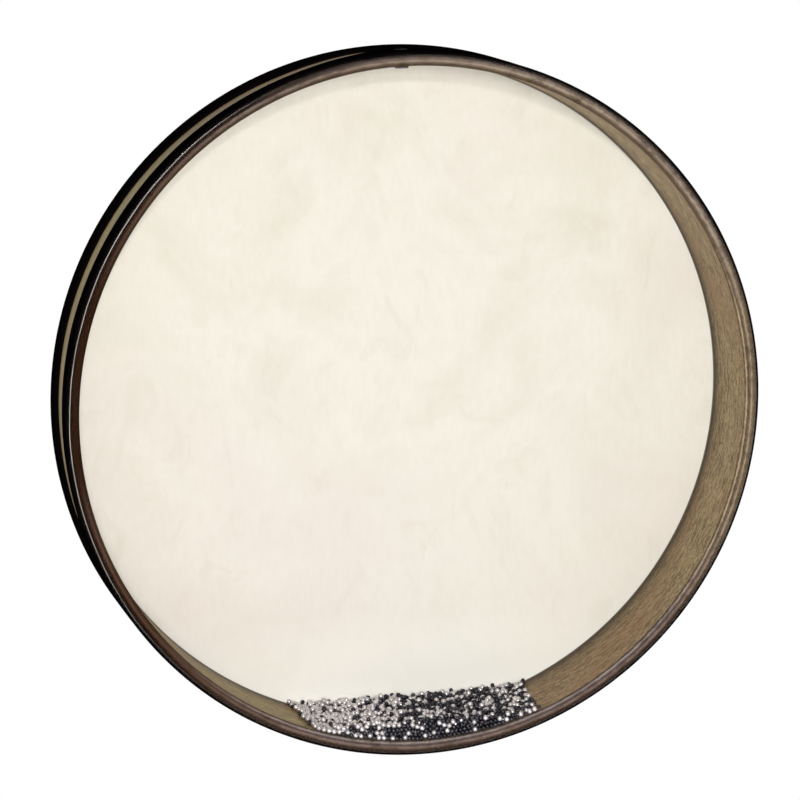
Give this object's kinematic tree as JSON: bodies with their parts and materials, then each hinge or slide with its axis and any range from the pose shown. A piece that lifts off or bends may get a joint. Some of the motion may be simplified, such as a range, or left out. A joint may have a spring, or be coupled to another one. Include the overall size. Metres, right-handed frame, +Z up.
{
  "type": "ocean drum",
  "caption": "Two-headed hand-held frame drum with a clear front head, a skin rear head and a charge of loose steel balls that rolls round inside the hoop.",
  "frame": {"origin": "on the drum's axis, halfway between the outer faces of the two heads", "axes": "+Z up with the drum standing upright on its rim and the vent at the top, +Y along the drum's axis out of the skin head, -Y out of the clear head, +X to the right seen from the clear head"},
  "size_m": [0.508, 0.0762, 0.508],
  "materials": {
    "plywood": "thin brown stain under satin lacquer, fine grain along the hoop",
    "clear_film": "clear polyester film, smooth and glossy",
    "skin": "cream skin with faint cloudy mottling, matt",
    "tape": "black edge tape, semi-gloss",
    "vent_metal": "dark burnished eyelet",
    "vent_rubber": "black spacer washer",
    "bright_steel": "bright polished steel balls",
    "dark_steel": "dark blued steel balls"
  },
  "bodies": {
    "drum": {"shell": "plywood", "front_head": "clear_film", "rear_head": "skin", "front_tape": "tape", "rear_tape": "tape", "vent_eyelet": "vent_metal", "vent_washer": "vent_rubber"},
    "charge": {"charge_core": "dark_steel", "large_balls_front": "bright_steel", "large_balls_rear": "bright_steel", "small_balls": "dark_steel", "face_large_balls": "bright_steel", "face_small_balls": "dark_steel"}
  },
  "joints": [
    {"name": "charge_roll", "type": "hinge", "parent": "drum", "child": "charge", "pos_m": [0, 0, 0], "axis": [0, 1, 0], "range_deg": [-150, 150]}
  ]
}
